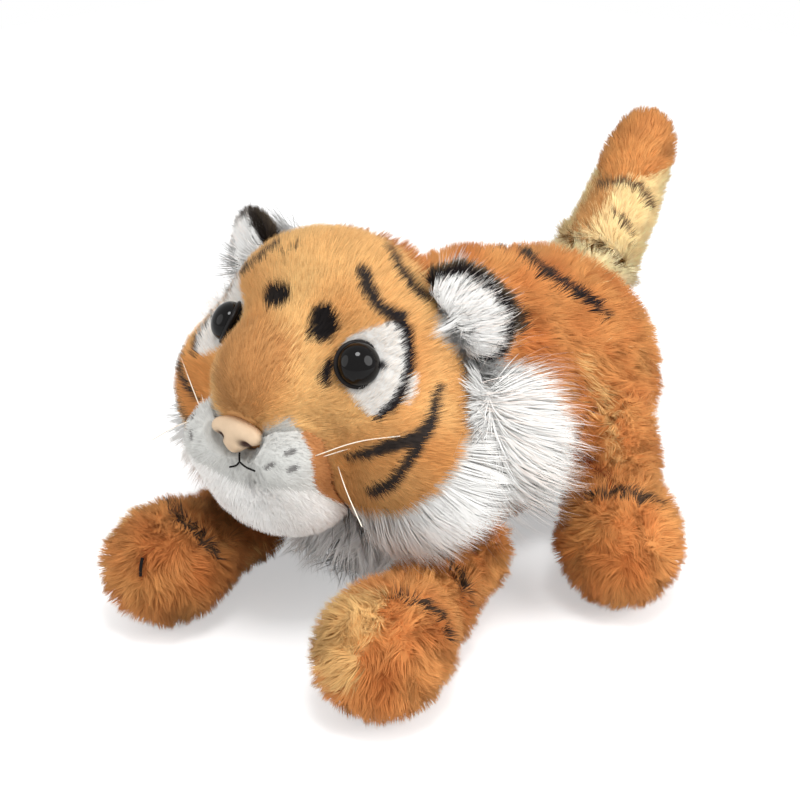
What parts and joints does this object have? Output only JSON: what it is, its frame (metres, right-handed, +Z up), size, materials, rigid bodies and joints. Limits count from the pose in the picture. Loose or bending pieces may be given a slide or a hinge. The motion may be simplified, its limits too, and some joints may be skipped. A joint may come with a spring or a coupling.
{
  "type": "plush tiger",
  "caption": "Stuffed plush tiger lying on its belly, with a large head, plastic eyes and nose, short thick paws and a raised tail.",
  "frame": {"origin": "on the floor under the middle of the torso, on the flat of the belly", "axes": "+Z up, the face looks along -Y, the tail end is +Y, the toy's left side is +X"},
  "size_m": [0.21, 0.2829, 0.1411],
  "materials": {
    "orange_pile": "rust orange long pile",
    "golden_pile": "golden short pile",
    "rust_pile": "rust orange pile",
    "white_pile": "white long pile",
    "black_pile": "black pile",
    "eye_plastic": "glossy black",
    "nose_plastic": "satin tan",
    "stuffing": "loose white fibre",
    "pellets": "cotton bag of pellets",
    "washer_plastic": "white locking washer",
    "whisker_thread": "pale stiff nylon"
  },
  "bodies": {
    "torso": {"torso_skin": "orange_pile", "torso_stuffing": "stuffing"},
    "neck": {"neck_stuffing": "stuffing"},
    "head": {"head_skin": "golden_pile", "head_stuffing": "stuffing", "muzzle_pads": "white_pile", "nose": "nose_plastic", "nose_washer": "washer_plastic", "eye_left": "eye_plastic", "eye_washer_left": "washer_plastic", "eye_patch_left": "white_pile", "cheek_ruff_left": "white_pile", "eye_right": "eye_plastic", "eye_washer_right": "washer_plastic", "eye_patch_right": "white_pile", "cheek_ruff_right": "white_pile", "whisker_left_1": "whisker_thread", "whisker_left_2": "whisker_thread", "whisker_left_3": "whisker_thread", "whisker_right_1": "whisker_thread", "whisker_right_2": "whisker_thread", "whisker_right_3": "whisker_thread"},
    "tail_root": {"tail_root_stuffing": "stuffing"},
    "tail": {"tail_skin": "orange_pile", "tail_stuffing": "stuffing"},
    "ear_left": {"ear_front_left": "white_pile", "ear_back_left": "black_pile"},
    "front_leg_left": {"front_leg_left_skin": "rust_pile", "front_leg_left_stuffing": "stuffing", "front_leg_left_pellet_bag": "pellets"},
    "hind_leg_left": {"hind_leg_left_skin": "rust_pile", "hind_leg_left_stuffing": "stuffing", "hind_leg_left_pellet_bag": "pellets"},
    "ear_right": {"ear_front_right": "white_pile", "ear_back_right": "black_pile"},
    "front_leg_right": {"front_leg_right_skin": "rust_pile", "front_leg_right_stuffing": "stuffing", "front_leg_right_pellet_bag": "pellets"},
    "hind_leg_right": {"hind_leg_right_skin": "rust_pile", "hind_leg_right_stuffing": "stuffing", "hind_leg_right_pellet_bag": "pellets"}
  },
  "joints": [
    {"name": "head_turn", "type": "hinge", "parent": "torso", "child": "neck", "pos_m": [0, -0.05355, 0.06804], "axis": [0, 0, 1], "range_deg": [-20, 20], "stiffness_Nm_per_rad": 1.2},
    {"name": "head_nod", "type": "hinge", "parent": "neck", "child": "head", "pos_m": [0, -0.05355, 0.06804], "axis": [1, 0, 0], "range_deg": [-12, 5], "stiffness_Nm_per_rad": 1.5},
    {"name": "tail_sway", "type": "hinge", "parent": "torso", "child": "tail_root", "pos_m": [0, 0.08075, 0.07884], "axis": [0, 0, 1], "range_deg": [-15, 15], "stiffness_Nm_per_rad": 0.3},
    {"name": "tail_raise", "type": "hinge", "parent": "tail_root", "child": "tail", "pos_m": [0, 0.08075, 0.07884], "axis": [1, 0, 0], "range_deg": [-10, 10], "stiffness_Nm_per_rad": 0.3},
    {"name": "front_leg_left_swing", "type": "hinge", "parent": "torso", "child": "front_leg_left", "pos_m": [0.04131, -0.0544, 0.027], "axis": [1, 0, 0], "range_deg": [-4, 25], "stiffness_Nm_per_rad": 0.3},
    {"name": "front_leg_right_swing", "type": "hinge", "parent": "torso", "child": "front_leg_right", "pos_m": [-0.04131, -0.0544, 0.027], "axis": [1, 0, 0], "range_deg": [-4, 25], "stiffness_Nm_per_rad": 0.3},
    {"name": "hind_leg_left_swing", "type": "hinge", "parent": "torso", "child": "hind_leg_left", "pos_m": [0.04641, 0.02805, 0.03672], "axis": [1, 0, 0], "range_deg": [-20, 20], "stiffness_Nm_per_rad": 0.3},
    {"name": "hind_leg_right_swing", "type": "hinge", "parent": "torso", "child": "hind_leg_right", "pos_m": [-0.04641, 0.02805, 0.03672], "axis": [1, 0, 0], "range_deg": [-20, 20], "stiffness_Nm_per_rad": 0.3},
    {"name": "ear_left_fold", "type": "hinge", "parent": "head", "child": "ear_left", "pos_m": [0.04406, -0.06438, 0.10909], "axis": [0.8864, 0.3947, -0.2419], "range_deg": [-15, 15], "stiffness_Nm_per_rad": 0.05},
    {"name": "ear_right_fold", "type": "hinge", "parent": "head", "child": "ear_right", "pos_m": [-0.04406, -0.06438, 0.10909], "axis": [0.8864, -0.3947, 0.2419], "range_deg": [-15, 15], "stiffness_Nm_per_rad": 0.05}
  ]
}
